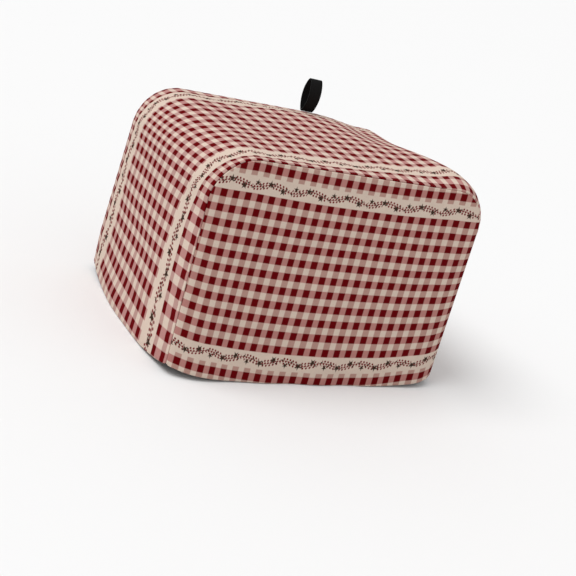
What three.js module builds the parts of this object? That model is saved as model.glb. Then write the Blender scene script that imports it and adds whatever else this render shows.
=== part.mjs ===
import * as THREE from 'three';

// A fitted fabric cover, open underneath: two shaped panels, one long gusset strip that runs up one end,
// over the top and down the other end, and a ribbon loop caught in the rear top seam.
// It stands on its hem at z = 0, with X along its length, -Y to the front and Z up. The hem hangs lowest in
// the middle of each side and draws up a little at the four seams. Sizes in millimetres.

// The panels at their seams
const LENGTH = 304;
const HEIGHT = 208;
const END_RADIUS = 42;
const DEPTH_AT_TOP = 188;
const DEPTH_AT_HEM = 215;

// The cloth, and the space left along each seam line
const CLOTH = 2;
const SEAM_GAP = 0.3;

// How far each piece swells past its own seams. A high flatness keeps the middle flat and turns the cloth
// in close to the seam, and a flatness of 2 is one even curve from seam to seam.
const PANEL_BOW = { hem: 13, top: 3.5, flatness: 10 };
const END_BOW = { hem: 6, top: 2, flatness: 2 };
const CROWN = { height: 1.5, flatness: 2.5 };

// How far the hem is drawn up at a seam, and how closely to the seam it starts to rise
const HEM_LIFT = { height: 9, flatness: 4 };

// The ribbon loop: where it stands, the spread of its two legs, how sharply its top is creased, and the
// foot where both ends lie together
const LOOP_X = 38;
const LOOP_HEIGHT = 35;
const LOOP_SPREAD = 8.8;
const LOOP_CREASE = 0.4;
const RIBBON_WIDTH = 14;
const RIBBON = 1.2;
const LOOP_TAB = 1.5;
const LOOP_STEPS = 36;

// Mesh steps: up a seam, along the top between the two upright seams, and across the gusset
const RISE_STEPS = 10;
const TOP_STEPS = 36;
const CROSS_STEPS = 12;
const PROBE = 0.01;

const HALF_LENGTH = LENGTH / 2;
const UPRIGHT = HEIGHT - END_RADIUS;
const ARC = END_RADIUS * Math.PI / 2;
const TOP_FLAT = LENGTH - 2 * END_RADIUS;
const TOP_RUN = TOP_FLAT + 2 * ARC;
const STRIP = TOP_RUN + 2 * UPRIGHT;

const COLOURS = {
  check: 0xb58a80,
  ribbon: 0x141414,
};

const mix = THREE.MathUtils.lerp;

function swell(across, flatness) {
  return 1 - Math.abs(across) ** flatness;
}

// A point of the seam line seen from the front: x, z and the slope of the gusset there, from 0 where it
// faces the end to a quarter turn where it faces up. along is the distance from the left end's hem.
function outline(along) {
  const right = along > STRIP / 2;
  const run = right ? STRIP - along : along;
  const slope = THREE.MathUtils.clamp((run - UPRIGHT) / END_RADIUS, 0, Math.PI / 2);
  let out = HALF_LENGTH - END_RADIUS + END_RADIUS * Math.cos(slope);
  let z = UPRIGHT + END_RADIUS * Math.sin(slope);
  if (run < UPRIGHT) {
    z = run;
  }
  if (run > UPRIGHT + ARC) {
    out = TOP_FLAT / 2 - (run - UPRIGHT - ARC);
  }
  return { x: right ? out : -out, z, slope, side: right ? 1 : -1 };
}

// Half the depth of the cover at a point of the panel, from the middle plane to the panel's face
function halfDepth(x, z) {
  const low = 1 - z / HEIGHT;
  const seam = mix(DEPTH_AT_TOP, DEPTH_AT_HEM, low) / 2;
  const bow = mix(PANEL_BOW.top, PANEL_BOW.hem, low);
  return seam + bow * swell(x / HALF_LENGTH, PANEL_BOW.flatness);
}

// The height of a point once the hem below it is drawn up: share is 0 in the middle of a side and 1 at its
// seams
function lifted(z, share) {
  const low = THREE.MathUtils.clamp(1 - z / UPRIGHT, 0, 1);
  return z + HEM_LIFT.height * low * Math.abs(share) ** HEM_LIFT.flatness;
}

function panelPoint(x, z, side) {
  return new THREE.Vector3(x, side * halfDepth(x, z), lifted(z, x / HALF_LENGTH));
}

function panelNormal(x, z, side) {
  const alongX = (halfDepth(x + PROBE, z) - halfDepth(x - PROBE, z)) / (2 * PROBE);
  const alongZ = (halfDepth(x, z + PROBE) - halfDepth(x, z - PROBE)) / (2 * PROBE);
  return new THREE.Vector3(-alongX, side, -alongZ).normalize();
}

// across runs from -1 at the front seam to 1 at the rear seam
function gussetPoint(along, across) {
  const { x, z, slope, side } = outline(along);
  const up = Math.sin(slope) ** 2;
  const endBow = mix(END_BOW.top, END_BOW.hem, 1 - z / HEIGHT) * swell(across, END_BOW.flatness);
  const crown = CROWN.height * swell(across, CROWN.flatness);
  const rise = mix(endBow, crown, up);
  return new THREE.Vector3(
    x + side * rise * Math.cos(slope),
    across * halfDepth(x, z),
    lifted(z, across) + rise * Math.sin(slope),
  );
}

function gussetNormal(along, across) {
  const step = PROBE / HALF_LENGTH;
  const alongStep = gussetPoint(along + PROBE, across).sub(gussetPoint(along - PROBE, across));
  const acrossStep = gussetPoint(along, across + step).sub(gussetPoint(along, across - step));
  return alongStep.cross(acrossStep).normalize();
}

function plain(point, normal) {
  return { outer: point, inner: point.clone().addScaledVector(normal, -CLOTH) };
}

// Two pieces meet at a seam in a mitre. keep is 1 for the panel and -1 for the gusset, and each of them
// stops half a gap short of the mitre plane.
function mitred(point, panelFace, gussetFace, keep) {
  const inward = panelFace.clone().add(gussetFace).multiplyScalar(-CLOTH / (1 + panelFace.dot(gussetFace)));
  const aside = panelFace.clone().sub(gussetFace).setLength(keep * SEAM_GAP / 2);
  const outer = point.clone().add(aside);
  return { outer, inner: outer.clone().add(inward) };
}

// Both faces of the cloth end at the height of the hem line
function levelHem(pair, height) {
  pair.outer.z = height;
  pair.inner.z = height;
  return pair;
}

// A closed sheet from a grid of outer and inner points. The diagonals run from the corners at the end of
// the last row towards its middle, so that no triangle there is folded flat.
function sheet(grid, flip) {
  const rows = grid.length;
  const columns = grid[0].length;
  const count = rows * columns;
  const positions = [];
  const index = [];
  for (const face of ['outer', 'inner']) {
    for (const row of grid) {
      for (const pair of row) {
        positions.push(pair[face].x, pair[face].y, pair[face].z);
      }
    }
  }
  function triangle(a, b, c) {
    index.push(a, flip ? c : b, flip ? b : c);
  }
  function quad(a, b, c, d) {
    triangle(a, b, c);
    triangle(a, c, d);
  }
  const at = (row, column) => row * columns + column;
  for (let row = 0; row < rows - 1; row += 1) {
    for (let column = 0; column < columns - 1; column += 1) {
      const a = at(row, column);
      const b = at(row, column + 1);
      const c = at(row + 1, column + 1);
      const d = at(row + 1, column);
      if (column < (columns - 1) / 2) {
        quad(d, a, b, c);
        quad(b + count, a + count, d + count, c + count);
      } else {
        quad(a, b, c, d);
        quad(a + count, d + count, c + count, b + count);
      }
    }
  }
  const rim = [];
  for (let column = 0; column < columns - 1; column += 1) {
    rim.push(at(0, column));
  }
  for (let row = 0; row < rows - 1; row += 1) {
    rim.push(at(row, columns - 1));
  }
  for (let column = columns - 1; column > 0; column -= 1) {
    rim.push(at(rows - 1, column));
  }
  for (let row = rows - 1; row > 0; row -= 1) {
    rim.push(at(row, 0));
  }
  rim.forEach((here, place) => {
    const next = rim[(place + 1) % rim.length];
    quad(next, here, here + count, next + count);
  });
  const geometry = new THREE.BufferGeometry();
  geometry.setAttribute('position', new THREE.Float32BufferAttribute(positions, 3));
  geometry.setIndex(index);
  geometry.computeVertexNormals();
  return geometry;
}

// A panel is ruled from its hem line to its top seam, so its edge points are the gusset's edge points
function panelGeometry(side) {
  const grid = [];
  for (let row = 0; row <= RISE_STEPS; row += 1) {
    const line = [];
    const share = row / RISE_STEPS;
    for (let column = 0; column <= TOP_STEPS; column += 1) {
      const topAlong = UPRIGHT + TOP_RUN * column / TOP_STEPS;
      const top = outline(topAlong);
      const hemX = mix(-HALF_LENGTH, HALF_LENGTH, column / TOP_STEPS);
      const x = mix(hemX, top.x, share);
      const z = top.z * share;
      const point = panelPoint(x, z, side);
      const normal = panelNormal(x, z, side);
      let pair = plain(point, normal);
      if (row === RISE_STEPS) {
        pair = mitred(point, normal, gussetNormal(topAlong, side), 1);
      } else if (column === 0 || column === TOP_STEPS) {
        const uprightAlong = column === 0 ? z : STRIP - z;
        pair = mitred(point, normal, gussetNormal(uprightAlong, side), 1);
      }
      line.push(row === 0 ? levelHem(pair, point.z) : pair);
    }
    grid.push(line);
  }
  return sheet(grid, side > 0);
}

function gussetGeometry() {
  const stations = [];
  for (let step = 0; step < RISE_STEPS; step += 1) {
    stations.push(UPRIGHT * step / RISE_STEPS);
  }
  for (let step = 0; step <= TOP_STEPS; step += 1) {
    stations.push(UPRIGHT + TOP_RUN * step / TOP_STEPS);
  }
  for (let step = RISE_STEPS - 1; step >= 0; step -= 1) {
    stations.push(STRIP - UPRIGHT * step / RISE_STEPS);
  }
  const last = stations.length - 1;
  const grid = stations.map((along, place) => {
    const line = [];
    for (let step = 0; step <= CROSS_STEPS; step += 1) {
      const across = -Math.cos(Math.PI * step / CROSS_STEPS);
      const point = gussetPoint(along, across);
      const normal = gussetNormal(along, across);
      let pair = plain(point, normal);
      if (step === 0 || step === CROSS_STEPS) {
        const { x, z } = outline(along);
        pair = mitred(point, panelNormal(x, z, across), normal, -1);
      }
      line.push(place === 0 || place === last ? levelHem(pair, point.z) : pair);
    }
    return line;
  });
  return sheet(grid, true);
}

// The ribbon's middle line, a tall leaf that is closed at its foot and creased at its top
function loopPoint(turn) {
  const high = Math.sin(turn / 2);
  return new THREE.Vector2(
    LOOP_SPREAD * Math.sin(turn) * Math.sqrt(high) * (1 - LOOP_CREASE * high ** 6),
    LOOP_HEIGHT * (1 - Math.cos(turn)) / 2,
  );
}

function loopEdge(turn, offset) {
  const tangent = loopPoint(turn + PROBE).sub(loopPoint(turn - PROBE)).normalize();
  return loopPoint(turn).add(new THREE.Vector2(tangent.y, -tangent.x).multiplyScalar(offset));
}

// Both ends of the ribbon lie together in the tab at the foot
function loopGeometry() {
  const open = Math.acos(1 - 2 * LOOP_TAB / LOOP_HEIGHT);
  const turns = [];
  for (let step = 0; step <= LOOP_STEPS; step += 1) {
    turns.push(mix(open, 2 * Math.PI - open, step / LOOP_STEPS));
  }
  const outside = turns.map((turn) => loopEdge(turn, RIBBON / 2));
  const inside = turns.slice(1, -1).map((turn) => loopEdge(turn, -RIBBON / 2)).filter((point, place) => {
    const middle = place < LOOP_STEPS / 2 ? point.x : -point.x;
    return middle > PROBE;
  });
  const foot = [new THREE.Vector2(-RIBBON, 0), new THREE.Vector2(RIBBON, 0)];
  const shape = new THREE.Shape([...foot, ...outside]);
  shape.holes.push(new THREE.Path(inside));
  const geometry = new THREE.ExtrudeGeometry(shape, { depth: RIBBON_WIDTH, bevelEnabled: false });
  geometry.translate(0, 0, -RIBBON_WIDTH / 2);
  return geometry;
}

function clothMaterial() {
  return new THREE.MeshStandardMaterial({ color: COLOURS.check, roughness: 0.95, metalness: 0 });
}

function ribbonMaterial() {
  return new THREE.MeshStandardMaterial({ color: COLOURS.ribbon, roughness: 0.7, metalness: 0 });
}

function piece(name, geometry, material) {
  const mesh = new THREE.Mesh(geometry, material);
  mesh.name = name;
  return mesh;
}

const cover = new THREE.Group();
cover.add(piece('front_panel', panelGeometry(-1), clothMaterial()));
cover.add(piece('back_panel', panelGeometry(1), clothMaterial()));
cover.add(piece('gusset', gussetGeometry(), clothMaterial()));

const loop = piece('handle_loop', loopGeometry(), ribbonMaterial());
loop.rotation.set(Math.PI / 2, Math.PI / 2, 0);
loop.position.set(LOOP_X, halfDepth(LOOP_X, HEIGHT), HEIGHT + SEAM_GAP);
cover.add(loop);

export default cover;
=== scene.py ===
"""A fitted check-cloth cover: a front and a back panel, one strip round the ends and top, and a ribbon loop.

Lengths are in millimetres up to the point where a mesh is made. X runs along the cover, Y to its rear, Z up.
A place on the strip is given by its length from the left end's hem, and by its share across, which runs from
-1 at the front seam to 1 at the rear seam. The front panel's face is -1, and the back panel's is 1.
"""

import math

import bpy
import numpy as np
from mathutils import Matrix, Vector


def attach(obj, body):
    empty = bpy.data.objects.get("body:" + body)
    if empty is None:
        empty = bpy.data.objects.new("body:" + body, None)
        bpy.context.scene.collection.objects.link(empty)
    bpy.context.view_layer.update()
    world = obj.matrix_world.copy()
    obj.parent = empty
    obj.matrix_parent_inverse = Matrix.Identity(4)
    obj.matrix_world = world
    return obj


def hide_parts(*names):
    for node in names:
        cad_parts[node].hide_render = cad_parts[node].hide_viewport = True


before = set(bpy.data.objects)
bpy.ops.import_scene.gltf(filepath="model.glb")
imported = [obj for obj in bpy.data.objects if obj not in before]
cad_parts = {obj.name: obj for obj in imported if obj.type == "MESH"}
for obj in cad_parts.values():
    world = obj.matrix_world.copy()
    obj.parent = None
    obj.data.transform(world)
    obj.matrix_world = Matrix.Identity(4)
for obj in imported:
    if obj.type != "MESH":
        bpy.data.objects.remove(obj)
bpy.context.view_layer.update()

MM = 0.001

# The cover's outline, as in the solids
LENGTH = 304
HEIGHT = 208
END_RADIUS = 42
DEPTH_AT_TOP = 188
DEPTH_AT_HEM = 215
HALF_LENGTH = LENGTH / 2
UPRIGHT = HEIGHT - END_RADIUS
ARC = END_RADIUS * math.pi / 2
TOP_FLAT = LENGTH - 2 * END_RADIUS
TOP_RUN = TOP_FLAT + 2 * ARC
STRIP = TOP_RUN + 2 * UPRIGHT

# How far the cloth swells out between its seams, and how flat that swelling is in its middle
PANEL_BOW = {"hem": 13, "top": 3.5, "flatness": 10}
END_BOW = {"hem": 6, "top": 2, "flatness": 2}
CROWN = {"height": 1.5, "flatness": 2.5}

# How far the hem is drawn up at a seam, and how closely to the seam it starts to rise
HEM_LIFT = {"height": 9, "flatness": 4}

# The cloth, its seams and its hem
CLOTH = 0.9
SEAM_GAP = 0.2
LIP_RADIUS = 0.45
ALLOWANCE = 8
ALLOWANCE_AT_HEM = 1
ALLOWANCE_WIDENS_OVER = 10
HEM_FOLD = 0.55
HEM_TURN = 15
HEM_END_GAP = 5
FOLD_HEIGHT = CLOTH / 2 + HEM_FOLD

# The pieces before sewing. The swell of a panel takes up some of its length.
PANEL_EASE = 24
PANEL_CUT = (LENGTH + 2 * ALLOWANCE + PANEL_EASE, HEIGHT + HEM_TURN + ALLOWANCE)
STRIP_CUT = (DEPTH_AT_HEM + 2 * ALLOWANCE, STRIP + 2 * HEM_TURN)

# How fine the meshes are. The strip is a little wider than the cover is deep, because it swells, and its
# columns are closer together towards its seams.
CELL = 2.6
STRIP_WIDENING = 1.05
STRIP_COLUMNS = round(DEPTH_AT_HEM * STRIP_WIDENING / CELL)
STRIP_EVENNESS = 0.6
LIP_STEPS = 6
ALLOWANCE_STEPS = 4
FOLD_STEPS = 6
TURN_STEPS = 5
LOOP_STEPS = 90
RIBBON_STEPS = 14

# Slopes are taken over this length, and those at a seam just inside it
NUDGE = 0.01
JUST_INSIDE_PANEL = 0.9999
JUST_INSIDE_STRIP = 0.9998

# The unevenness of sewn cloth: slow waves, by size, length, direction and phase, a hem that is not quite
# straight, and slight puckers along the seams, whose rhythm wanders by the size, length and phase given
WAVES = [(0.30, 118, 0.4, 1.1), (0.22, 74, 1.9, 0.2), (0.14, 47, 2.9, 2.3)]
WAVES_FULL_AT = 35
HEM_WAVE = {"size": 0.6, "length": 63, "phase": 0.7, "gone_at": 55, "full_at": 25}
PUCKER = {"size": 0.22, "length": 12.5, "reach": 7}
PUCKER_WANDER = [(0.8, 31, 0), (0.5, 13.7, 1)]

# Where the cloth hangs off its plain shape: the strip stands proud round its right shoulder, the rear top
# seam sags towards the right, and the hem is tucked in at the rear left corner. Each pair is where it starts
# and where it is full, or where it fades and is gone.
SHOULDER = {"height": 9.3, "along": 477, "reach": 32, "flatness": 8, "fades": (-0.6, 0.55)}
SAG = {"depth": 6.5, "x": 108, "reach": 36, "y": (-30, 80), "z": (120, 200)}
TUCK = {"depth": 2.5, "to_left": (95, HALF_LENGTH), "y": (20, 100), "fades": (0, 50)}

# The ribbon loop
LOOP_X = 38
LOOP_HEIGHT = 35
LOOP_SPREAD = 8.8
LOOP_CREASE = {"depth": 0.4, "sharpness": 6}
LOOP_FOOT_TURN = 0.12
RIBBON_WIDTH = 14
RIBBON = 0.9
RIBBON_EDGE = 1.1
RIB_PITCH = 1.1

# The print is counted in stripes. A place where the cloth is drawn out has its stripes further apart.
PITCH = 13
THREAD = 0.55

# Along a panel: places, and the columns there. The columns lean a little, most where x is -85.
PANEL_PLACES = [-152, -131, -96, -46, 7, 61, 102, 132, 152]
PANEL_COLUMNS = [-10.9, -9, -6, -2, 2, 6, 9, 11, 12.3]
LEAN = {"most": 0.033, "at": -85, "reach": 110, "level": 90}

# Up a panel: rows, and their heights in its middle and near its ends
PANEL_ROWS = [10, 9, 6, 3, 0, -3, -6]
HEIGHTS_IN_MIDDLE = [-11.5, 3.5, 48, 91, 132.5, 172, 211.6]
HEIGHTS_AT_ENDS = [-5.8, 8.5, 51.2, 93.3, 134.2, 174.7, 215.2]
ENDS_FROM = 110

# Along the strip: places, and the length of one row there, the same from either end
STRIP_FIRST_ROW = 12
STRIP_PLACES = [0, 35, 65, 82, 98, 130, 147, 160, 171, 180, 200, 235, 260, 342]
STRIP_PITCHES = [20, 22.5, 19, 16, 15.5, 17, 15.5, 12, 9.5, 8, 8.5, 14, 16, 16]
STRIP_SAMPLES = 681

# How far the rows slant across the strip: places, and rows per 100 mm
SLANT_PLACES = [0, 33, 74, 90, 122, 155, 167, 195, 225, 290]
SLANTS = [-0.3, -0.35, -0.2, 0, 0.12, 0.25, 0.45, 0.85, 0.7, 0]

# Across the strip: places along it, where the field's front column, middle and rear column lie there, how
# far beyond them the narrow columns of the border lie, and the column at the seams
FIELD_HALF = 4.5
NARROW = 7.12
ACROSS_PLACES = [0, 35, 75, 105, 140, 167, 190, 225, 265, 300, 340, 400, 445, 560, 684]
FIELD_FRONT = [-50, -48, -46, -45, -48, -56, -61, -67, -66, -63, -58, -50, -45, -50, -50]
FIELD_MIDDLE = [17, 10.5, 7, 12, 11, 6.5, 4.5, -13, -7.5, 1, 9, 20, 27, 15, 15]
FIELD_REAR = [80, 69, 63, 66, 66, 63, 61, 58, 61, 70, 80, 93, 96, 80, 80]
TO_NARROW = [35, 34.5, 32, 30, 28, 25, 24.5, 24, 23, 27, 28, 28, 31, 32, 35]
AT_SEAM = [9.1, 9.1, 9.1, 9.0, 8.9, 8.75, 8.7, 8.6, 8.6, 8.6, 8.6, 8.7, 8.9, 9, 9.1]
FIELD_TO_SEAM = 14
NARROW_TO_SEAM = 5
BEND_REACH = 12
BEND_SAMPLES = 9

# Colours as on a screen
CREAM = (209, 190, 175)
ROW_PINK = (175, 122, 115)
COLUMN_PINK = (175, 138, 127)
# The strip's pinks are the panels' pinks made lighter: painted sheen, for the haze the strip's cloth shows
# where it is seen at a grazing angle
STRIP_ROW_PINK_WITH_PAINTED_SHEEN = (178, 129, 124)
STRIP_COLUMN_PINK_WITH_PAINTED_SHEEN = (178, 142, 134)
RED = (97, 4, 9)
VINE_RED = (112, 26, 32)
STAR_DARK = (60, 45, 36)
RIBBON_BLACK = (12, 12, 12)
RIBBON_EDGE_BLACK = (5, 5, 5)

# The check: how wide a stripe is to either side of its middle, how soft its edges are, and how much cream
# shows through on the reverse
STRIPE_HALF = 0.265
SOFT = 0.035
REVERSE_CREAM = 0.45

# How the bands of the print lie on the panels and on the strip. The outer bands, the clear band and the
# garland in it are given by their distance from the middle of the field.
PANEL_LAYOUT = {
    "bands": "rows",
    "band_half": 0.265,
    "field": (-3, 7),
    "outer": [(6.98, 0.27)],
    "clear": (5.265, 6.42),
    "garland": 5.84,
    "garland_squeeze": 1,
    "pinks": (ROW_PINK, COLUMN_PINK),
}
STRIP_LAYOUT = {
    "bands": "columns",
    "band_half": 0.25,
    "field": (-4.5, 4.5),
    "outer": [(7.12, 0.26), (8.57, 0.33)],
    "clear": (4.97, 6.86),
    "garland": 5.97,
    "garland_squeeze": 0.75,
    # The strip's pinks are lighter than the panels' pinks as painted sheen
    "pinks": (STRIP_COLUMN_PINK_WITH_PAINTED_SHEEN, STRIP_ROW_PINK_WITH_PAINTED_SHEEN),
}

# One repeat of the garland, in stripes: a waving vine with rows of berries beside it, leaves and stars.
# A star is given by its place, its height and its reach, a row by its height, pitch, start and spot radius.
REPEAT = 3.25
GARLAND_START = 0.4
WAVE = 0.13
VINE = {"wave": 0.3, "half": 0.018, "soft": 0.02}
STARS = [(0.5, 0.17, 0.28), (1.6, -0.16, 0.27), (2.65, 0.15, 0.22)]
BERRY_ROWS = [(-0.17, 0.26, 0.0, 0.075), (0.0, 0.24, 0.12, 0.075), (0.16, 0.28, 0.2, 0.075)]
LEAF_ROWS = [(-0.08, 0.8125, 0.1, 0.05), (0.1, 1.0833, 0.3, 0.05)]
LEAF_STRETCH = 0.6
STAR_WAIST = 0.42
STAR_SOFT = 0.03
SPOT_SOFT = 0.025

# The berries beside the vine thin out where two waves, by turns in a repeat, phase and size, add up high
BARE_WAVES = [(4, 0.6, -1), (2, 2, -0.6)]
BARE_AT = {"limit": 0.6, "soft": 0.1}
NEVER_BARE = {"limit": 0.13, "soft": 0.02}

# The surfaces: the size and detail of the noise in them, how far it changes shade, roughness and relief
MOTTLE = {"scale": 900, "detail": 3, "shade": 0.16, "roughness": 0.15, "relief": 0.6}
CLOUDS = {"scale": 60, "detail": 2, "shade": 0.10}
GRAIN = {"scale": 1200, "detail": 2, "shade": 0.6, "roughness": 0.2, "relief": 0.4}
CLOTH_SURFACE = {"roughness": 0.86, "specular": 0.03, "bump": 0.35, "relief": 0.1}
RIBBON_SURFACE = {"roughness": 0.55, "specular": 0.15, "bump": 0.4, "relief": 0.15, "shade": 0.5}
RIBBON_EDGE_SOFT = 0.2

# The camera, at the photograph's angle
CAMERA = {"azimuth": 34.27, "elevation": 20.8, "roll": 18.48, "distance": 1160, "lens": 69.68}
CAMERA_TARGET = Vector((21.6, 0, 44.75)) * MM
SENSOR = 36
SEES_METRES = 200

# A soft light from above and the left, an even one from all sides, and a pale floor
SUN_FROM = Vector((-0.5, 0.1, 0.86))
SUN = 1.75
SUN_SPREAD = math.radians(35)
SKY = 0.69
FLOOR = 0.83
FLOOR_ROUGHNESS = 0.9
FLOOR_METRES = 60
FLOOR_DROP = 0.5


def mix(start, end, share):
    return start + (end - start) * share


def ramp(value, start, end):
    """0 below start, 1 above end, smooth between them."""
    share = np.clip((value - start) / (end - start), 0, 1)
    return share * share * (3 - 2 * share)


def near(value, centre, reach):
    """1 at the centre, and less and less away from it."""
    return np.exp(-(((value - centre) / reach) ** 2))


def swell(across, flatness):
    """1 in the middle of the cloth, 0 at its seams, which are at -1 and 1."""
    return 1 - np.abs(np.clip(across, -1, 1)) ** flatness


def unit(vectors):
    return vectors / np.linalg.norm(vectors, axis=-1, keepdims=True)


def dot(one, other):
    return (one * other).sum(axis=-1, keepdims=True)


def outline(along):
    """The seam's x, z, slope and side, at lengths along the strip."""
    along = np.asarray(along, float)
    right = along > STRIP / 2
    run = np.where(right, STRIP - along, along)
    slope = np.clip((run - UPRIGHT) / END_RADIUS, 0, math.pi / 2)
    out = HALF_LENGTH - END_RADIUS + END_RADIUS * np.cos(slope)
    out = np.where(run > UPRIGHT + ARC, TOP_FLAT / 2 - (run - UPRIGHT - ARC), out)
    z = np.where(run < UPRIGHT, run, UPRIGHT + END_RADIUS * np.sin(slope))
    side = np.where(right, 1.0, -1.0)
    return side * out, z, slope, side


def half_depth(x, z):
    low = 1 - z / HEIGHT
    seam = mix(DEPTH_AT_TOP, DEPTH_AT_HEM, low) / 2
    bow = mix(PANEL_BOW["top"], PANEL_BOW["hem"], low)
    return seam + bow * swell(x / HALF_LENGTH, PANEL_BOW["flatness"])


def lifted(z, share):
    """The height of a point once the hem below it is drawn up: share is 0 mid-side and 1 at a seam."""
    low = np.clip(1 - z / UPRIGHT, 0, 1)
    return z + HEM_LIFT["height"] * low * np.abs(share) ** HEM_LIFT["flatness"]


def panel_point(x, z, face):
    x, z = np.broadcast_arrays(np.asarray(x, float), np.asarray(z, float))
    return np.stack([x, face * half_depth(x, z), lifted(z, x / HALF_LENGTH)], axis=-1)


def panel_normal(x, z, face):
    x, z = np.broadcast_arrays(np.asarray(x, float), np.asarray(z, float))
    along = (half_depth(x + NUDGE, z) - half_depth(x - NUDGE, z)) / (2 * NUDGE)
    upward = (half_depth(x, z + NUDGE) - half_depth(x, z - NUDGE)) / (2 * NUDGE)
    return unit(np.stack([-along, face + 0 * x, -upward], axis=-1))


def strip_point(along, across):
    along, across = np.broadcast_arrays(np.asarray(along, float), np.asarray(across, float))
    x, z, slope, side = outline(along)
    up = np.sin(slope) ** 2
    bow = mix(END_BOW["top"], END_BOW["hem"], 1 - z / HEIGHT) * swell(across, END_BOW["flatness"])
    crown = CROWN["height"] * swell(across, CROWN["flatness"])
    rise = mix(bow, crown, up)
    out = x + side * rise * np.cos(slope)
    return np.stack([out, across * half_depth(x, z), lifted(z, across) + rise * np.sin(slope)], axis=-1)


def strip_normal(along, across):
    step = NUDGE / 100
    lengthwise = strip_point(along + NUDGE, across) - strip_point(along - NUDGE, across)
    crosswise = strip_point(along, across + step) - strip_point(along, across - step)
    return unit(np.cross(lengthwise, crosswise))


class Seam:
    """The seam at one face of the cover, at lengths along the strip, seen from one of its two cloths."""

    def __init__(self, along, face, of_panel):
        self.along = along
        x, z, slope, side = outline(along)
        panel = panel_normal(x * JUST_INSIDE_PANEL, z, face)
        strip = strip_normal(along, face * JUST_INSIDE_STRIP)
        self.start = strip_point(along, face)
        self.normal = panel if of_panel else strip
        self.inward = unit(-(panel + strip))
        self.into_cloth = unit(self.inward - dot(self.inward, self.normal) * self.normal)
        cosine = dot(self.inward, self.into_cloth)
        sine = -dot(self.inward, self.normal)
        self.angle = np.arctan2(sine, cosine)
        self.lip_depth = CLOTH / 2 + LIP_RADIUS
        meeting = SEAM_GAP / 2 + CLOTH / 2 + LIP_RADIUS
        self.inset = (meeting + self.lip_depth * cosine) / sine

    def at(self, into, depth):
        return self.start + into * self.into_cloth - depth * self.normal

    def edge_rings(self, border):
        """The rounded lip and the turned-in allowance, as rows of points that follow the cloth's border."""
        slip = border - self.at(self.inset, CLOTH / 2)
        rings = []
        for step in range(1, LIP_STEPS + 1):
            turn = (math.pi - self.angle) * step / LIP_STEPS
            into = self.inset - LIP_RADIUS * np.sin(turn)
            depth = self.lip_depth - LIP_RADIUS * np.cos(turn)
            rings.append(self.at(into, depth) + slip * (1 - step / LIP_STEPS))
        rise = np.minimum(self.along, STRIP - self.along)[:, None]
        widening = ramp(rise, HEM_TURN, HEM_TURN + ALLOWANCE_WIDENS_OVER)
        length = mix(ALLOWANCE_AT_HEM, ALLOWANCE, widening)
        turned = rings[-1]
        for step in range(1, ALLOWANCE_STEPS + 1):
            rings.append(turned + self.inward * length * step / ALLOWANCE_STEPS)
        return rings


def unevenness(along, across, seam_distance, rise):
    """How far the cloth stands out or in, by its place on the piece."""
    height = np.zeros_like(along)
    for size, length, direction, phase in WAVES:
        run = along * math.cos(direction) + across * math.sin(direction)
        height += size * np.sin(2 * math.pi * run / length + phase)
    height *= ramp(seam_distance, 0, WAVES_FULL_AT)
    share = (1 - ramp(rise, 0, HEM_WAVE["gone_at"])) * ramp(seam_distance, 0, HEM_WAVE["full_at"])
    height += HEM_WAVE["size"] * share * np.sin(2 * math.pi * along / HEM_WAVE["length"] + HEM_WAVE["phase"])
    reach = seam_distance / PUCKER["reach"]
    wander = sum(size * np.sin(along / length + phase) for size, length, phase in PUCKER_WANDER)
    pucker = np.sin(2 * math.pi * along / PUCKER["length"] + wander)
    return height + PUCKER["size"] * reach * np.exp(1 - reach) * pucker


def shoulder(along, across):
    """How far the strip stands out round its right shoulder, most towards the front."""
    share = near(along, SHOULDER["along"], SHOULDER["reach"]) * (1 - ramp(across, *SHOULDER["fades"]))
    return SHOULDER["height"] * share * swell(across, SHOULDER["flatness"])


def settled(points):
    """The points once the rear top seam has sagged and the corner is tucked in."""
    x, y, z = points.T
    sagging = near(x, SAG["x"], SAG["reach"]) * ramp(y, *SAG["y"]) * ramp(z, *SAG["z"])
    tucked = ramp(-x, *TUCK["to_left"]) * ramp(y, *TUCK["y"]) * (1 - ramp(z, *TUCK["fades"]))
    return np.stack([x + TUCK["depth"] * tucked, y, z - SAG["depth"] * sagging], axis=-1)


class Sheet:
    """A cloth mesh built up from grids of points, with a print position at each point."""

    def __init__(self):
        self.points = []
        self.prints = []
        self.faces = []

    def add(self, points, prints):
        """Adds a grid of points and gives their numbers, in the same grid."""
        first = sum(len(block) for block in self.points)
        self.points.append(points.reshape(-1, 3))
        self.prints.append(prints.reshape(-1, 2))
        return first + np.arange(points[..., 0].size).reshape(points.shape[:-1])

    def points_at(self, numbers):
        return np.concatenate(self.points)[numbers]

    def prints_at(self, numbers):
        return np.concatenate(self.prints)[numbers]

    def skin(self, numbers, flip=False):
        """Four-sided faces between the rows and columns of a grid of numbers."""
        corners = [numbers[:-1, :-1], numbers[:-1, 1:], numbers[1:, 1:], numbers[1:, :-1]]
        if flip:
            corners.reverse()
        self.faces.append(np.stack(corners, axis=-1).reshape(-1, 4))

    def grow_border(self, border, seam, outward, pitches, flip):
        """Welds a lip and allowance to the border, and carries the print on across them."""
        prints = self.prints_at(border)
        previous = self.points_at(border)
        rows = [border]
        run = np.zeros(len(border))
        for ring in seam.edge_rings(previous):
            run = run + np.linalg.norm(ring - previous, axis=1)
            shift = outward * run[:, None] / np.array(pitches)
            rows.append(self.add(ring, prints + shift))
            previous = ring
        self.skin(np.stack(rows), flip)

    def build(self, name, materials):
        mesh = bpy.data.meshes.new(name)
        points = settled(np.concatenate(self.points)) * MM
        faces = np.concatenate(self.faces)
        mesh.from_pydata(points.tolist(), [], faces.tolist())
        prints = self.prints_at(faces.reshape(-1))
        mesh.uv_layers.new(name="print").data.foreach_set("uv", prints.reshape(-1))
        mesh.polygons.foreach_set("use_smooth", [True] * len(mesh.polygons))
        for material in materials:
            mesh.materials.append(material)
        mesh.update()
        piece = bpy.data.objects.new(name, mesh)
        bpy.context.collection.objects.link(piece)
        return piece


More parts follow.
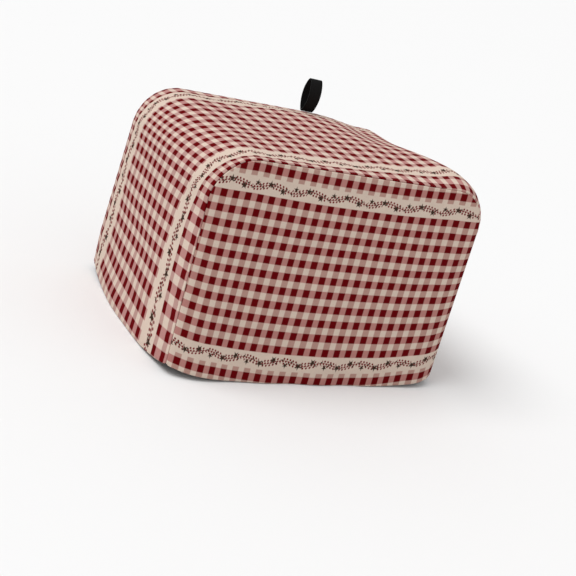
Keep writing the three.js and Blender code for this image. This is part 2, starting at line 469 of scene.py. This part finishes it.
def thicken(piece, thickness):
    """Gives a sheet its two faces, the inner one in the second material."""
    bpy.context.view_layer.objects.active = piece
    solid = piece.modifiers.new("thickness", "SOLIDIFY")
    solid.thickness = thickness * MM
    solid.offset = 0
    solid.use_even_offset = True
    solid.material_offset = 1
    solid.material_offset_rim = 0
    bpy.ops.object.modifier_apply(modifier=solid.name)
    return piece


def hem_steps():
    """The hem's section, as steps inward from the cloth's middle and up from the fold."""
    fold = []
    for step in range(1, FOLD_STEPS + 1):
        turn = math.pi * step / FOLD_STEPS
        fold.append((HEM_FOLD * (1 - math.cos(turn)), -HEM_FOLD * math.sin(turn)))
    turned_up = [(2 * HEM_FOLD, HEM_TURN * step / TURN_STEPS) for step in range(1, TURN_STEPS + 1)]
    return fold + turned_up


def hem_narrowing(inward):
    """How much shorter the turned-up layer is than the hem, to stay clear of the seams."""
    return HEM_END_GAP * inward / (2 * HEM_FOLD)


def hem_print_shift(inward, up):
    return (max(up, 0) + inward) / PITCH


def eased(place, places, values):
    """Values between the given places, with rounded bends."""
    steps = np.linspace(-BEND_REACH, BEND_REACH, BEND_SAMPLES)
    return sum(np.interp(place + step, places, values) for step in steps) / BEND_SAMPLES


def panel_print(x, z):
    """The print position on a panel: columns along the cloth, rows down it."""
    lean = LEAN["most"] * near(x, LEAN["at"], LEAN["reach"])
    upright = x - lean * (z - LEAN["level"])
    columns = np.interp(upright, PANEL_PLACES, PANEL_COLUMNS)
    middle = np.interp(z, HEIGHTS_IN_MIDDLE, PANEL_ROWS)
    ends = np.interp(z, HEIGHTS_AT_ENDS, PANEL_ROWS)
    rows = mix(middle, ends, np.clip(x / ENDS_FROM, -1, 1) ** 2)
    return np.stack([columns, rows], axis=-1)


def strip_rows(along, crosswise):
    """How many stripes lie between the hem and a place on the strip, the same from either end."""
    run = np.minimum(along, STRIP - along)
    fine = np.linspace(0, STRIP / 2, STRIP_SAMPLES)
    rates = 1 / np.interp(fine, STRIP_PLACES, STRIP_PITCHES)
    counts = np.concatenate([[0], np.cumsum((rates[1:] + rates[:-1]) / 2 * np.diff(fine))])
    count = np.interp(run, fine, counts) + np.interp(run, SLANT_PLACES, SLANTS) * crosswise / 100
    first = np.interp(STRIP_FIRST_ROW, fine, counts)
    return np.where(along > STRIP / 2, 2 * counts[-1] - count, count) - first


def strip_columns(along, crosswise):
    """The column at places on the strip, by their distances from its middle line."""
    tables = (FIELD_FRONT, FIELD_MIDDLE, FIELD_REAR, TO_NARROW, AT_SEAM)
    front, middle, rear, gap, last = (eased(along[:, 0], ACROSS_PLACES, values) for values in tables)
    narrow = np.full_like(last, NARROW)
    field = np.full_like(last, FIELD_HALF)
    columns = np.stack([-last, -narrow, -field, last * 0, field, narrow, last], axis=-1)
    first_edge = crosswise[:, 0]
    last_edge = crosswise[:, -1]
    rear = np.minimum(rear, last_edge - FIELD_TO_SEAM)
    narrow_front = np.maximum(front - gap, first_edge + NARROW_TO_SEAM)
    narrow_rear = np.minimum(rear + gap, last_edge - NARROW_TO_SEAM)
    places = np.stack([first_edge, narrow_front, front, middle, rear, narrow_rear, last_edge], axis=-1)
    return np.array([np.interp(row, *line) for row, line in zip(crosswise, zip(places, columns))])


def panel_seam_distance(x, z):
    """How far a place on a panel is from the nearest seam."""
    out = np.abs(x) - (HALF_LENGTH - END_RADIUS)
    up = z - UPRIGHT
    corner = END_RADIUS - np.hypot(np.maximum(out, 0), np.maximum(up, 0))
    sides = HALF_LENGTH - np.abs(x)
    top = HEIGHT - z
    return np.where((out > 0) & (up > 0), corner, np.minimum(sides, top))


def panel_outward(along):
    x, z, slope, side = outline(along)
    return np.stack([side * np.cos(slope), np.sin(slope)], axis=-1)


def panel_cloth(x, z, face, inward=0):
    """Points in the middle of a panel's cloth, or further in by the length given."""
    out = unevenness(x, z, panel_seam_distance(x, z), z) - (CLOTH / 2 + inward)
    return panel_point(x, z, face) + panel_normal(x, z, face) * out[..., None]


def panel_grid(face):
    """The places of a panel's points, row by row upwards, and where its top row lies along the strip."""
    share_across = np.linspace(0, 1, round(TOP_RUN / CELL) + 1)
    share_up = np.linspace(0, 1, round(HEIGHT / CELL) + 1)[:, None]
    top_along = UPRIGHT + TOP_RUN * share_across
    top_x, top_z, slope, side = outline(top_along)
    inset = Seam(top_along, face, True).inset[:, 0]
    top_x = top_x - side * inset * np.cos(slope)
    top_z = top_z - inset * np.sin(slope)
    hem_inset = Seam(np.array([FOLD_HEIGHT]), face, True).inset[0, 0]
    hem_x = mix(-HALF_LENGTH + hem_inset, HALF_LENGTH - hem_inset, share_across)
    return mix(hem_x, top_x, share_up), mix(FOLD_HEIGHT, top_z, share_up), top_along


def fold_panel_hem(sheet, hem, hem_x, face):
    """Folds a panel's hem up inside the cover."""
    rows = [hem]
    for inward, up in hem_steps():
        x = hem_x * (1 - hem_narrowing(inward) / HALF_LENGTH)
        z = np.full_like(x, FOLD_HEIGHT + up)
        prints = panel_print(x, z * 0)
        prints[:, 1] += hem_print_shift(inward, up)
        rows.append(sheet.add(panel_cloth(x, z, face, inward), prints))
    sheet.skin(np.stack(rows), face < 0)


def make_panel(name, face, materials):
    x, z, top_along = panel_grid(face)
    sheet = Sheet()
    numbers = sheet.add(panel_cloth(x, z, face), panel_print(x, z))
    sheet.skin(numbers, face > 0)
    border = np.concatenate([numbers[:-1, 0], numbers[-1, :], numbers[-2::-1, -1]])
    along = np.concatenate([z[:-1, 0], top_along, STRIP - z[-2::-1, -1]])
    sheet.grow_border(border, Seam(along, face, True), panel_outward(along), (PITCH, -PITCH), face > 0)
    fold_panel_hem(sheet, numbers[0, :], x[0], face)
    return thicken(sheet.build(name, materials), CLOTH)


def half_widths(along):
    """How many millimetres one share across is, at the seams."""
    step = 0.001
    return np.linalg.norm(strip_point(along, 1) - strip_point(along, 1 - step), axis=-1) / step


def strip_grid(front, rear):
    """The shares across of the strip's points, between its front and rear seams, row by row."""
    widths = half_widths(front.along)
    first = -1 + front.inset[:, 0] / widths
    last = 1 - rear.inset[:, 0] / widths
    even = np.linspace(0, 1, STRIP_COLUMNS + 1)
    share = mix((1 - np.cos(math.pi * even)) / 2, even, STRIP_EVENNESS)
    return mix(first[:, None], last[:, None], share)


def from_middle_line(along, across):
    """How far points on the strip are from its middle line, over the cloth."""
    steps = np.linalg.norm(np.diff(strip_point(along, across), axis=1), axis=-1)
    widths = np.concatenate([np.zeros((len(steps), 1)), np.cumsum(steps, axis=1)], axis=1)
    middle = np.array([np.interp(0, shares, row) for shares, row in zip(across, widths)])
    return widths - middle[:, None]


def strip_cloth(along, across, crosswise, inward=0):
    """Points in the middle of the strip's cloth, or further in by the length given."""
    seam_distance = (1 - np.abs(across)) * half_widths(along)
    rise = np.minimum(along, STRIP - along)
    bulge = unevenness(along, crosswise, seam_distance, rise) + shoulder(along, across)
    out = bulge - (CLOTH / 2 + inward)
    return strip_point(along, across) + strip_normal(along, across) * out[..., None]


def fold_strip_hem(sheet, hem, across, crosswise, at_left):
    """Folds the hem at one end of the strip up inside the cover."""
    rows = [hem]
    for inward, up in hem_steps():
        narrowed = across * (1 - hem_narrowing(inward) / (DEPTH_AT_HEM / 2))
        height = FOLD_HEIGHT + up
        along = np.full_like(narrowed, height if at_left else STRIP - height)
        prints = sheet.prints_at(hem)
        prints[:, 1] += hem_print_shift(inward, up) * (-1 if at_left else 1)
        rows.append(sheet.add(strip_cloth(along, narrowed, crosswise, inward), prints))
    sheet.skin(np.stack(rows), not at_left)


def make_strip(name, materials):
    row_along = np.linspace(FOLD_HEIGHT, STRIP - FOLD_HEIGHT, round(STRIP / CELL) + 1)
    front = Seam(row_along, -1, False)
    rear = Seam(row_along, 1, False)
    across = strip_grid(front, rear)
    along = np.broadcast_to(row_along[:, None], across.shape)
    crosswise = from_middle_line(along, across)
    prints = np.stack([strip_columns(along, crosswise), strip_rows(along, crosswise)], axis=-1)
    sheet = Sheet()
    numbers = sheet.add(strip_cloth(along, across, crosswise), prints)
    sheet.skin(numbers, True)
    for seam, column, outward in ((front, 0, -1), (rear, -1, 1)):
        direction = np.tile([outward, 0.0], (len(row_along), 1))
        sheet.grow_border(numbers[:, column], seam, direction, (PITCH, PITCH), outward < 0)
    for row in (0, -1):
        fold_strip_hem(sheet, numbers[row, :], across[row], crosswise[row], row == 0)
    return thicken(sheet.build(name, materials), CLOTH)


def loop_line(turn):
    """The ribbon's middle line, across the cover and up."""
    high = np.sin(turn / 2)
    creased = 1 - LOOP_CREASE["depth"] * high ** LOOP_CREASE["sharpness"]
    across = LOOP_SPREAD * np.sin(turn) * np.sqrt(high) * creased
    return np.stack([across, LOOP_HEIGHT * (1 - np.cos(turn)) / 2], axis=-1)


def make_loop(name, materials):
    turns = np.linspace(LOOP_FOOT_TURN, 2 * math.pi - LOOP_FOOT_TURN, LOOP_STEPS + 1)
    line = loop_line(turns)
    aside = np.linspace(-1, 1, RIBBON_STEPS + 1) * RIBBON_WIDTH / 2
    points = np.empty((LOOP_STEPS + 1, RIBBON_STEPS + 1, 3))
    points[..., 0] = LOOP_X + aside
    points[..., 1] = half_depth(LOOP_X, HEIGHT) + line[:, :1]
    points[..., 2] = HEIGHT + SEAM_GAP + line[:, 1:]
    length = np.concatenate([[0], np.cumsum(np.linalg.norm(np.diff(line, axis=0), axis=1))])
    prints = np.stack(np.broadcast_arrays(aside, length[:, None]), axis=-1)
    sheet = Sheet()
    sheet.skin(sheet.add(points, prints))
    return thicken(sheet.build(name, materials), RIBBON)


class Number:
    """A value in a node tree, which arithmetic on it extends."""

    def __init__(self, tree, socket):
        self.tree = tree
        self.socket = socket

    def apply(self, operation, *others):
        node = self.tree.nodes.new("ShaderNodeMath")
        node.operation = operation
        for place, value in enumerate((self, *others)):
            connect(self.tree, value, node.inputs[place])
        return Number(self.tree, node.outputs[0])

    def __add__(self, other):
        return self.apply("ADD", other)

    def __sub__(self, other):
        return self.apply("SUBTRACT", other)

    def __rsub__(self, other):
        return self * -1 + other

    def __mul__(self, other):
        return self.apply("MULTIPLY", other)

    def __truediv__(self, other):
        return self.apply("DIVIDE", other)

    def __abs__(self):
        return self.apply("ABSOLUTE")

    def sine(self):
        return self.apply("SINE")

    def either(self, other):
        return self.apply("MAXIMUM", other)

    def to_whole(self):
        """How far this is from the nearest whole number."""
        return self.apply("PINGPONG", 0.5)

    def within(self, limit, soft):
        """1 where this is below the limit, 0 above it, with a soft edge."""
        node = self.tree.nodes.new("ShaderNodeMapRange")
        node.interpolation_type = "SMOOTHSTEP"
        connect(self.tree, self, node.inputs["Value"])
        node.inputs["From Min"].default_value = limit - soft
        node.inputs["From Max"].default_value = limit + soft
        node.inputs["To Min"].default_value = 1
        node.inputs["To Max"].default_value = 0
        return Number(self.tree, node.outputs["Result"])


def connect(tree, value, socket):
    if isinstance(value, Number):
        tree.links.new(value.socket, socket)
    elif isinstance(value, tuple):
        socket.default_value = linear(value)
    else:
        socket.default_value = value


def linear(colour):
    """A screen colour, as the shader takes it."""
    values = [channel / 255 for channel in colour]
    return [value / 12.92 if value < 0.04045 else ((value + 0.055) / 1.055) ** 2.4 for value in values] + [1]


def colour_mix(tree, below, above, share, blend="MIX"):
    node = tree.nodes.new("ShaderNodeMix")
    node.data_type = "RGBA"
    node.blend_type = blend
    for value, place in ((share, 0), (below, 6), (above, 7)):
        connect(tree, value, node.inputs[place])
    return Number(tree, node.outputs[2])


def shaded(tree, colour, shade):
    """The colour made lighter or darker, where the shade is above or below 1."""
    grey = tree.nodes.new("ShaderNodeCombineColor")
    for channel in grey.inputs:
        connect(tree, shade, channel)
    return colour_mix(tree, colour, Number(tree, grey.outputs[0]), 1, "MULTIPLY")


def print_position(tree):
    """The two coordinates of the print."""
    uv = tree.nodes.new("ShaderNodeUVMap")
    uv.uv_map = "print"
    split = tree.nodes.new("ShaderNodeSeparateXYZ")
    tree.links.new(uv.outputs[0], split.inputs[0])
    return Number(tree, split.outputs[0]), Number(tree, split.outputs[1])


def noise(tree, kind):
    node = tree.nodes.new("ShaderNodeTexNoise")
    node.inputs["Scale"].default_value = kind["scale"]
    node.inputs["Detail"].default_value = kind["detail"]
    position = tree.nodes.new("ShaderNodeTexCoord").outputs["Object"]
    tree.links.new(position, node.inputs["Vector"])
    return Number(tree, node.outputs["Fac"])


def finish_surface(tree, shader, surface, colour, roughness, height):
    """Connects what varies over a surface to its shader, and sets what does not."""
    bump = tree.nodes.new("ShaderNodeBump")
    bump.inputs["Strength"].default_value = surface["bump"]
    bump.inputs["Distance"].default_value = surface["relief"] * MM
    connect(tree, height, bump.inputs["Height"])
    tree.links.new(bump.outputs[0], shader.inputs["Normal"])
    connect(tree, colour, shader.inputs["Base Color"])
    connect(tree, roughness, shader.inputs["Roughness"])
    shader.inputs["Specular IOR Level"].default_value = surface["specular"]


def length_of(x, y):
    return (x * x + y * y).apply("SQRT")


def star(x, y, reach):
    """A five-pointed star round the point 0, 0."""
    waist = reach * STAR_WAIST
    folded = x.apply("ARCTAN2", y).apply("PINGPONG", math.pi / 5)
    distance = length_of(x, y)
    forward = distance * folded.apply("COSINE")
    aside = distance * folded.sine()
    run = waist * math.sin(math.pi / 5)
    drop = reach - waist * math.cos(math.pi / 5)
    over = ((forward - reach) * run + aside * drop) / math.hypot(run, drop)
    return over.within(0, STAR_SOFT)


def spot_rows(along, y, rows, stretch):
    """Rows of round spots, or of long ones where the stretch is less than 1."""
    mask = None
    for height, pitch, start, radius in rows:
        x = (along + start).apply("WRAP", pitch / 2, -pitch / 2) * stretch
        row = length_of(x, y - height).within(radius, SPOT_SOFT)
        mask = row if mask is None else mask.either(row)
    return mask


def garland(along, across):
    """The garland's red and its dark parts, by places along it and from its middle, in stripes."""
    turn = along * (2 * math.pi / REPEAT)
    wave = turn.sine() * WAVE
    y = across - wave
    first, second = ((turn * turns + phase).sine() * size for turns, phase, size in BARE_WAVES)
    berried = (first + second).within(**BARE_AT).either(abs(y).within(**NEVER_BARE))
    vine = abs(y - wave * VINE["wave"]).within(VINE["half"], VINE["soft"])
    red = (spot_rows(along, y, BERRY_ROWS, 1) * berried).either(vine)
    dark = spot_rows(along, y, LEAF_ROWS, LEAF_STRETCH)
    place = along.apply("WRAP", REPEAT, 0.0)
    for x, height, reach in STARS:
        dark = dark.either(star(place - x, across - height, reach))
    return red, dark


def check_bands(from_middle, across, layout):
    """Where the bands of the field and the border lie."""
    low, high = layout["field"]
    field = from_middle.within((high - low) / 2 + 0.5, 0.01)
    bands = (across - low).to_whole().within(layout["band_half"], SOFT) * field
    for centre, half in layout["outer"]:
        bands = bands.either(abs(from_middle - centre).within(half, SOFT))
    return bands


def printed(tree, column, row, layout, reverse):
    """The print's colour. No stripes cross its clear bands, which hold the garland."""
    across, along = (row, column) if layout["bands"] == "rows" else (column, row)
    from_middle = abs(across - sum(layout["field"]) / 2)
    bands = check_bands(from_middle, across, layout)
    start, end = layout["clear"]
    clear = abs(from_middle - (start + end) / 2).within((end - start) / 2, SOFT)
    crossing = along.to_whole().within(STRIPE_HALF, SOFT) * (1 - clear)
    band_pink, crossing_pink = layout["pinks"]
    colour = colour_mix(tree, CREAM, band_pink, bands)
    colour = colour_mix(tree, colour, crossing_pink, crossing)
    colour = colour_mix(tree, colour, RED, bands * crossing)
    if reverse:
        return colour_mix(tree, colour, CREAM, REVERSE_CREAM)
    aside = (from_middle - layout["garland"]) * layout["garland_squeeze"]
    red, dark = garland(along + GARLAND_START, aside)
    colour = colour_mix(tree, colour, VINE_RED, red * clear)
    return colour_mix(tree, colour, STAR_DARK, dark * clear)


def weave(x, y):
    """Threads that pass over and under each other, as a height from -1 to 1."""
    return (x * (2 * math.pi / THREAD)).sine() * (y * (2 * math.pi / THREAD)).sine()


def new_material(name):
    material = bpy.data.materials.new(name)
    material.use_nodes = True
    return material, material.node_tree, material.node_tree.nodes["Principled BSDF"]


def cloth_material(name, layout, reverse=False):
    """Printed check cloth, slightly mottled, with a fine weave."""
    material, tree, shader = new_material(name)
    column, row = print_position(tree)
    mottle = noise(tree, MOTTLE) - 0.5
    clouds = noise(tree, CLOUDS) - 0.5
    shade = mottle * MOTTLE["shade"] + clouds * CLOUDS["shade"] + 1
    colour = shaded(tree, printed(tree, column, row, layout, reverse), shade)
    roughness = mottle * MOTTLE["roughness"] + CLOTH_SURFACE["roughness"]
    height = weave(column * PITCH, row * PITCH) + mottle * MOTTLE["relief"]
    finish_surface(tree, shader, CLOTH_SURFACE, colour, roughness, height)
    return material


def ribbon_material(name):
    """Black ribbon with fine cross ribs and a closer, darker edge."""
    material, tree, shader = new_material(name)
    aside, run = print_position(tree)
    inner = abs(aside).within(RIBBON_WIDTH / 2 - RIBBON_EDGE, RIBBON_EDGE_SOFT)
    ribs = (run * (2 * math.pi / RIB_PITCH)).sine()
    grain = noise(tree, GRAIN)
    share = inner * (grain * GRAIN["shade"] + RIBBON_SURFACE["shade"])
    colour = colour_mix(tree, RIBBON_EDGE_BLACK, RIBBON_BLACK, share)
    roughness = grain * GRAIN["roughness"] + RIBBON_SURFACE["roughness"]
    height = ribs * inner + grain * GRAIN["relief"]
    finish_surface(tree, shader, RIBBON_SURFACE, colour, roughness, height)
    return material


def in_metres(size):
    return tuple(length * MM for length in size)


def stand_for(piece, node):
    """Puts a piece in the place of a solid."""
    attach(piece, "root")
    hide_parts(node)


def dress_panels():
    outside = cloth_material("check_panel", PANEL_LAYOUT)
    inside = cloth_material("check_reverse", PANEL_LAYOUT, True)
    for name, face, node in (("cloth_front", -1, "front_panel"), ("cloth_back", 1, "back_panel")):
        panel = make_panel(name, face, [outside, inside])
        stand_for(panel, node)
        in_metres(PANEL_CUT)


def dress_strip():
    outside = cloth_material("check_gusset", STRIP_LAYOUT)
    inside = cloth_material("check_gusset_reverse", STRIP_LAYOUT, True)
    strip = make_strip("cloth_gusset", [outside, inside])
    stand_for(strip, "gusset")
    in_metres(STRIP_CUT)


def dress_loop():
    ribbon = ribbon_material("ribbon_black")
    loop = make_loop("loop_ribbon", [ribbon, ribbon])
    stand_for(loop, "handle_loop")


def make_camera():
    azimuth, elevation, roll = (math.radians(CAMERA[name]) for name in ("azimuth", "elevation", "roll"))
    flat = math.cos(elevation)
    back = Vector((-math.sin(azimuth) * flat, -math.cos(azimuth) * flat, math.sin(elevation)))
    right = Vector((0, 0, 1)).cross(back).normalized()
    up = back.cross(right)
    rolled_right = right * math.cos(roll) + up * math.sin(roll)
    rolled_up = up * math.cos(roll) - right * math.sin(roll)
    axes = Matrix((rolled_right, rolled_up, back)).transposed()
    place = CAMERA_TARGET + back * CAMERA["distance"] * MM
    data = bpy.data.cameras.new("camera")
    data.lens = CAMERA["lens"]
    data.sensor_width = SENSOR
    data.clip_end = SEES_METRES
    camera = bpy.data.objects.new("camera", data)
    bpy.context.collection.objects.link(camera)
    camera.matrix_world = Matrix.Translation(place) @ axes.to_4x4()
    bpy.context.scene.camera = camera


def make_floor():
    bpy.ops.mesh.primitive_plane_add(size=FLOOR_METRES, location=(0, 0, -FLOOR_DROP * MM))
    floor = bpy.context.object
    floor.name = "floor"
    material, tree, shader = new_material("floor")
    shader.inputs["Base Color"].default_value = (FLOOR, FLOOR, FLOOR, 1)
    shader.inputs["Roughness"].default_value = FLOOR_ROUGHNESS
    floor.data.materials.append(material)


def make_sky():
    world = bpy.data.worlds.new("studio")
    bpy.context.scene.world = world
    world.use_nodes = True
    background = world.node_tree.nodes["Background"]
    background.inputs["Color"].default_value = (1, 1, 1, 1)
    background.inputs["Strength"].default_value = SKY


def make_sun():
    data = bpy.data.lights.new("sun", "SUN")
    data.energy = SUN
    data.angle = SUN_SPREAD
    sun = bpy.data.objects.new("sun", data)
    bpy.context.collection.objects.link(sun)
    sun.rotation_euler = SUN_FROM.to_track_quat("Z", "Y").to_euler()


make_camera()
dress_panels()
dress_strip()
dress_loop()
make_floor()
make_sky()
make_sun()
bpy.context.scene.view_settings.view_transform = "Standard"
